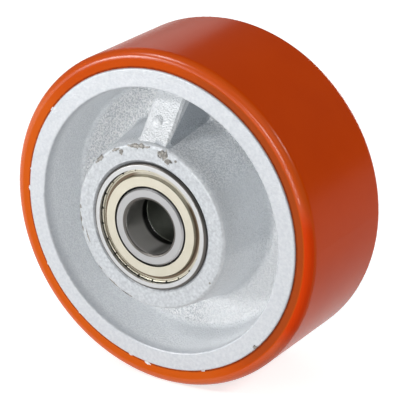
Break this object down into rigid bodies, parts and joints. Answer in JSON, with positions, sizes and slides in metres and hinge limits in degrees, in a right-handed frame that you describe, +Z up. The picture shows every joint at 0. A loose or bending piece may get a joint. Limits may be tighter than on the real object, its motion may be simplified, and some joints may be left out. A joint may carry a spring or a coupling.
{
  "type": "castor wheel",
  "caption": "Heavy-duty castor wheel: cast-iron centre with a bonded orange polyurethane tyre, deep dished sides and shielded ball bearings for a plain axle.",
  "frame": {"origin": "centre of the wheel, on the axle line midway between the bearings", "axes": "+Y along the axle, from the ribbed side towards the plain side; +Z up, with the wheel standing on its tread"},
  "size_m": [0.125, 0.06, 0.125],
  "materials": {
    "polyurethane": "smooth satin",
    "grey_paint": "silver-grey paint on a cast surface",
    "bearing_steel": "ground",
    "shield_plate": "pale yellow zinc plate",
    "cage_steel": "pressed",
    "ball_steel": "polished",
    "tube_steel": "drawn, oiled"
  },
  "bodies": {
    "axle_side": {"spacer_tube": "tube_steel", "front_inner_ring": "bearing_steel", "rear_inner_ring": "bearing_steel"},
    "wheel": {"core": "grey_paint", "tread": "polyurethane", "front_outer_ring": "bearing_steel", "front_outside_shield": "shield_plate", "front_inside_shield": "shield_plate", "rear_outer_ring": "bearing_steel", "rear_outside_shield": "shield_plate", "rear_inside_shield": "shield_plate"},
    "front_cage": {"front_cage_outside": "cage_steel", "front_cage_inside": "cage_steel", "front_cage_rivets": "cage_steel"},
    "front_ball_1": {"front_ball_1": "ball_steel"},
    "front_ball_2": {"front_ball_2": "ball_steel"},
    "front_ball_3": {"front_ball_3": "ball_steel"},
    "front_ball_4": {"front_ball_4": "ball_steel"},
    "front_ball_5": {"front_ball_5": "ball_steel"},
    "front_ball_6": {"front_ball_6": "ball_steel"},
    "front_ball_7": {"front_ball_7": "ball_steel"},
    "front_ball_8": {"front_ball_8": "ball_steel"},
    "rear_cage": {"rear_cage_outside": "cage_steel", "rear_cage_inside": "cage_steel", "rear_cage_rivets": "cage_steel"},
    "rear_ball_1": {"rear_ball_1": "ball_steel"},
    "rear_ball_2": {"rear_ball_2": "ball_steel"},
    "rear_ball_3": {"rear_ball_3": "ball_steel"},
    "rear_ball_4": {"rear_ball_4": "ball_steel"},
    "rear_ball_5": {"rear_ball_5": "ball_steel"},
    "rear_ball_6": {"rear_ball_6": "ball_steel"},
    "rear_ball_7": {"rear_ball_7": "ball_steel"},
    "rear_ball_8": {"rear_ball_8": "ball_steel"}
  },
  "joints": [
    {"name": "wheel_spin", "type": "hinge", "parent": "axle_side", "child": "wheel", "pos_m": [0, 0, 0], "axis": [0, 1, 0], "continuous": true},
    {"name": "front_cage_spin", "type": "hinge", "parent": "axle_side", "child": "front_cage", "pos_m": [0, -0.023, 0], "axis": [0, 1, 0], "continuous": true},
    {"name": "front_ball_1_spin", "type": "hinge", "parent": "front_cage", "child": "front_ball_1", "pos_m": [0.01675, -0.023, 0], "axis": [0, 1, 0], "continuous": true},
    {"name": "front_ball_2_spin", "type": "hinge", "parent": "front_cage", "child": "front_ball_2", "pos_m": [0.01184, -0.023, 0.01184], "axis": [0, 1, 0], "continuous": true},
    {"name": "front_ball_3_spin", "type": "hinge", "parent": "front_cage", "child": "front_ball_3", "pos_m": [0, -0.023, 0.01675], "axis": [0, 1, 0], "continuous": true},
    {"name": "front_ball_4_spin", "type": "hinge", "parent": "front_cage", "child": "front_ball_4", "pos_m": [-0.01184, -0.023, 0.01184], "axis": [0, 1, 0], "continuous": true},
    {"name": "front_ball_5_spin", "type": "hinge", "parent": "front_cage", "child": "front_ball_5", "pos_m": [-0.01675, -0.023, 0], "axis": [0, 1, 0], "continuous": true},
    {"name": "front_ball_6_spin", "type": "hinge", "parent": "front_cage", "child": "front_ball_6", "pos_m": [-0.01184, -0.023, -0.01184], "axis": [0, 1, 0], "continuous": true},
    {"name": "front_ball_7_spin", "type": "hinge", "parent": "front_cage", "child": "front_ball_7", "pos_m": [0, -0.023, -0.01675], "axis": [0, 1, 0], "continuous": true},
    {"name": "front_ball_8_spin", "type": "hinge", "parent": "front_cage", "child": "front_ball_8", "pos_m": [0.01184, -0.023, -0.01184], "axis": [0, 1, 0], "continuous": true},
    {"name": "rear_cage_spin", "type": "hinge", "parent": "axle_side", "child": "rear_cage", "pos_m": [0, 0.023, 0], "axis": [0, 1, 0], "continuous": true},
    {"name": "rear_ball_1_spin", "type": "hinge", "parent": "rear_cage", "child": "rear_ball_1", "pos_m": [0.01675, 0.023, 0], "axis": [0, 1, 0], "continuous": true},
    {"name": "rear_ball_2_spin", "type": "hinge", "parent": "rear_cage", "child": "rear_ball_2", "pos_m": [0.01184, 0.023, 0.01184], "axis": [0, 1, 0], "continuous": true},
    {"name": "rear_ball_3_spin", "type": "hinge", "parent": "rear_cage", "child": "rear_ball_3", "pos_m": [0, 0.023, 0.01675], "axis": [0, 1, 0], "continuous": true},
    {"name": "rear_ball_4_spin", "type": "hinge", "parent": "rear_cage", "child": "rear_ball_4", "pos_m": [-0.01184, 0.023, 0.01184], "axis": [0, 1, 0], "continuous": true},
    {"name": "rear_ball_5_spin", "type": "hinge", "parent": "rear_cage", "child": "rear_ball_5", "pos_m": [-0.01675, 0.023, 0], "axis": [0, 1, 0], "continuous": true},
    {"name": "rear_ball_6_spin", "type": "hinge", "parent": "rear_cage", "child": "rear_ball_6", "pos_m": [-0.01184, 0.023, -0.01184], "axis": [0, 1, 0], "continuous": true},
    {"name": "rear_ball_7_spin", "type": "hinge", "parent": "rear_cage", "child": "rear_ball_7", "pos_m": [0, 0.023, -0.01675], "axis": [0, 1, 0], "continuous": true},
    {"name": "rear_ball_8_spin", "type": "hinge", "parent": "rear_cage", "child": "rear_ball_8", "pos_m": [0.01184, 0.023, -0.01184], "axis": [0, 1, 0], "continuous": true}
  ],
  "couplings": [
    {"joint": "front_cage_spin", "follows": "wheel_spin", "ratio": 0.61848},
    {"joint": "front_ball_1_spin", "follows": "wheel_spin", "ratio": 1.9916},
    {"joint": "front_ball_2_spin", "follows": "wheel_spin", "ratio": 1.9916},
    {"joint": "front_ball_3_spin", "follows": "wheel_spin", "ratio": 1.9916},
    {"joint": "front_ball_4_spin", "follows": "wheel_spin", "ratio": 1.9916},
    {"joint": "front_ball_5_spin", "follows": "wheel_spin", "ratio": 1.9916},
    {"joint": "front_ball_6_spin", "follows": "wheel_spin", "ratio": 1.9916},
    {"joint": "front_ball_7_spin", "follows": "wheel_spin", "ratio": 1.9916},
    {"joint": "front_ball_8_spin", "follows": "wheel_spin", "ratio": 1.9916},
    {"joint": "rear_cage_spin", "follows": "wheel_spin", "ratio": 0.61848},
    {"joint": "rear_ball_1_spin", "follows": "wheel_spin", "ratio": 1.9916},
    {"joint": "rear_ball_2_spin", "follows": "wheel_spin", "ratio": 1.9916},
    {"joint": "rear_ball_3_spin", "follows": "wheel_spin", "ratio": 1.9916},
    {"joint": "rear_ball_4_spin", "follows": "wheel_spin", "ratio": 1.9916},
    {"joint": "rear_ball_5_spin", "follows": "wheel_spin", "ratio": 1.9916},
    {"joint": "rear_ball_6_spin", "follows": "wheel_spin", "ratio": 1.9916},
    {"joint": "rear_ball_7_spin", "follows": "wheel_spin", "ratio": 1.9916},
    {"joint": "rear_ball_8_spin", "follows": "wheel_spin", "ratio": 1.9916}
  ]
}
